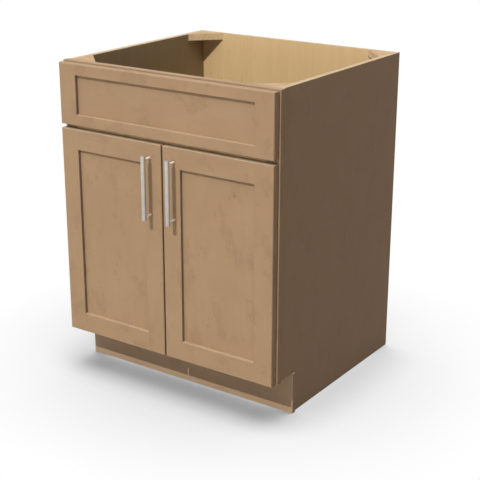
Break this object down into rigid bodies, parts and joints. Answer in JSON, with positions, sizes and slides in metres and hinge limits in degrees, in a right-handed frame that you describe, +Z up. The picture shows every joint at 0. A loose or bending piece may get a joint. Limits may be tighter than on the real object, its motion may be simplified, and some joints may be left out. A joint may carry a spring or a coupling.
{
  "type": "sink base cabinet",
  "caption": "Floor-standing sink base cabinet with an open top, a face frame, a fixed false drawer front over a pair of hinged frame-and-panel doors, and a recessed toe kick.",
  "frame": {"origin": "on the floor, in the middle of the whole cabinet's footprint, pulls included", "axes": "+X to the right seen from the front, +Y from the doors to the wall, +Z up"},
  "size_m": [0.6858, 0.6664, 0.8763],
  "materials": {
    "stained_wood": "light brown stain, satin lacquer",
    "birch_ply": "natural birch, clear coat",
    "raw_wood": "plain sanded softwood",
    "pull_metal": "satin nickel",
    "hinge_metal": "nickel-plated",
    "bumper_rubber": "clear soft pad"
  },
  "bodies": {
    "cabinet": {"left_side_panel": "stained_wood", "right_side_panel": "stained_wood", "floor_panel": "birch_ply", "back_panel": "birch_ply", "toe_kick_board": "stained_wood", "toe_kick_cleat": "raw_wood", "floor_batten": "raw_wood", "left_frame_stile": "stained_wood", "right_frame_stile": "stained_wood", "top_frame_rail": "stained_wood", "middle_frame_rail": "stained_wood", "bottom_frame_rail": "stained_wood", "front_left_brace": "raw_wood", "front_right_brace": "raw_wood", "back_left_brace": "raw_wood", "back_right_brace": "raw_wood", "brace_screws": "hinge_metal", "false_front_left_stile": "stained_wood", "false_front_right_stile": "stained_wood", "false_front_top_rail": "stained_wood", "false_front_bottom_rail": "stained_wood", "false_front_panel": "stained_wood", "left_front_bracket": "hinge_metal", "right_front_bracket": "hinge_metal", "bracket_screws": "hinge_metal", "false_front_bumpers": "bumper_rubber", "left_upper_hinge_arm": "hinge_metal", "left_lower_hinge_arm": "hinge_metal", "right_upper_hinge_arm": "hinge_metal", "right_lower_hinge_arm": "hinge_metal", "hinge_arm_screws": "hinge_metal"},
    "left_door": {"left_door_hinge_stile": "stained_wood", "left_door_meeting_stile": "stained_wood", "left_door_top_rail": "stained_wood", "left_door_bottom_rail": "stained_wood", "left_door_panel": "stained_wood", "left_pull_bar": "pull_metal", "left_pull_posts": "pull_metal", "left_pull_screws": "hinge_metal", "left_upper_hinge_cup": "hinge_metal", "left_lower_hinge_cup": "hinge_metal", "left_hinge_pins": "hinge_metal", "left_cup_screws": "hinge_metal", "left_door_bumpers": "bumper_rubber"},
    "right_door": {"right_door_hinge_stile": "stained_wood", "right_door_meeting_stile": "stained_wood", "right_door_top_rail": "stained_wood", "right_door_bottom_rail": "stained_wood", "right_door_panel": "stained_wood", "right_pull_bar": "pull_metal", "right_pull_posts": "pull_metal", "right_pull_screws": "hinge_metal", "right_upper_hinge_cup": "hinge_metal", "right_lower_hinge_cup": "hinge_metal", "right_hinge_pins": "hinge_metal", "right_cup_screws": "hinge_metal", "right_door_bumpers": "bumper_rubber"}
  },
  "joints": [
    {"name": "left_door_hinge", "type": "hinge", "parent": "cabinet", "child": "left_door", "pos_m": [-0.33115, -0.29015, 0.4055], "axis": [0, 0, -1], "range_deg": [0, 105]},
    {"name": "right_door_hinge", "type": "hinge", "parent": "cabinet", "child": "right_door", "pos_m": [0.33115, -0.29015, 0.4055], "axis": [0, 0, 1], "range_deg": [0, 105]}
  ]
}
